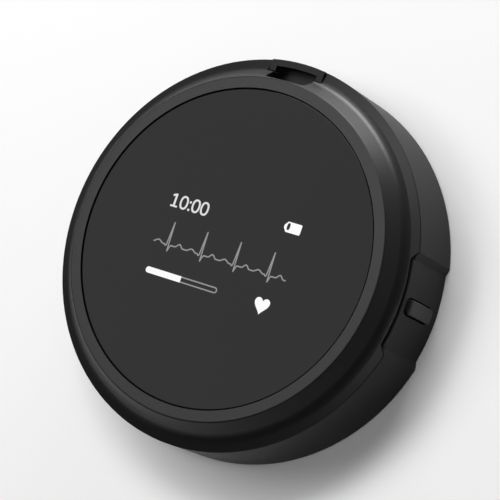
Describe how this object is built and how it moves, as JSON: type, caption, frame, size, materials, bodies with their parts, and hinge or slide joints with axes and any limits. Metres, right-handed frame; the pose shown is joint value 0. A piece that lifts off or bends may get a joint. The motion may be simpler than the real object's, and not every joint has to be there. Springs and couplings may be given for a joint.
{
  "type": "home ecg monitor",
  "caption": "Round pocket ECG monitor: glass display front in a flared shell, side button in a shallow recess, lanyard bar in the top edge, flush skin electrodes behind.",
  "frame": {"origin": "centre of the flat rear face", "axes": "+Z out through the glass, +X towards the side button, +Y towards the lanyard bar, which is the display's top"},
  "size_m": [0.0619, 0.062, 0.0156],
  "materials": {
    "shell_plastic": "satin black, moulded",
    "housing_plastic": "satin black, moulded",
    "cover_plastic": "fine matt black, moulded",
    "dark_glass": "polished, printed black from behind so that only the lit display shows",
    "adhesive": "black bonding tape",
    "display": "glass sandwich, dark when off",
    "holder_plastic": "moulded, dark grey",
    "ribbon_film": "amber printed film",
    "seal_rubber": "soft, matt",
    "silicone": "soft, red-brown",
    "screw_steel": "plated",
    "electrode_steel": "fine brushed stainless",
    "gold_plate": "gold plated",
    "board": "green solder resist",
    "chip_black": "moulded epoxy",
    "tin_plate": "tinned sheet",
    "connector_plastic": "ivory",
    "cell_foil": "dull laminated foil",
    "foam": "foam tape",
    "nickel": "nickel strip",
    "button_plastic": "satin black, moulded"
  },
  "bodies": {
    "case": {"front_shell": "shell_plastic", "housing": "housing_plastic", "rear_cover": "cover_plastic", "cover_glass": "dark_glass", "glass_bond": "adhesive", "display_panel": "display", "display_holder": "holder_plastic", "display_ribbon": "ribbon_film", "shell_seal": "seal_rubber", "rear_seal": "seal_rubber", "electrode_seals": "silicone", "shell_screws": "screw_steel", "cover_screws": "screw_steel", "board_screws": "screw_steel", "electrode_right": "electrode_steel", "electrode_left": "electrode_steel", "electrode_reference": "electrode_steel", "electrode_springs": "gold_plate", "charge_contacts": "gold_plate", "main_board": "board", "board_chips": "chip_black", "buzzer": "chip_black", "side_switch": "chip_black", "shield_can": "tin_plate", "ribbon_connector": "connector_plastic", "battery": "cell_foil", "battery_pad": "foam", "battery_tabs": "nickel"},
    "button": {"button_cap": "button_plastic", "button_seal": "seal_rubber"},
    "plunger": {"switch_plunger": "connector_plastic"}
  },
  "joints": [
    {"name": "button_press", "type": "slide", "parent": "case", "child": "button", "axis": [-1, 0, 0], "range_m": [0, 0.0003], "stiffness_N_per_m": 600, "springref_m": -0.001},
    {"name": "plunger_press", "type": "slide", "parent": "case", "child": "plunger", "axis": [-1, 0, 0], "range_m": [0, 0.0003]}
  ],
  "couplings": [
    {"joint": "plunger_press", "follows": "button_press", "ratio": 1}
  ]
}
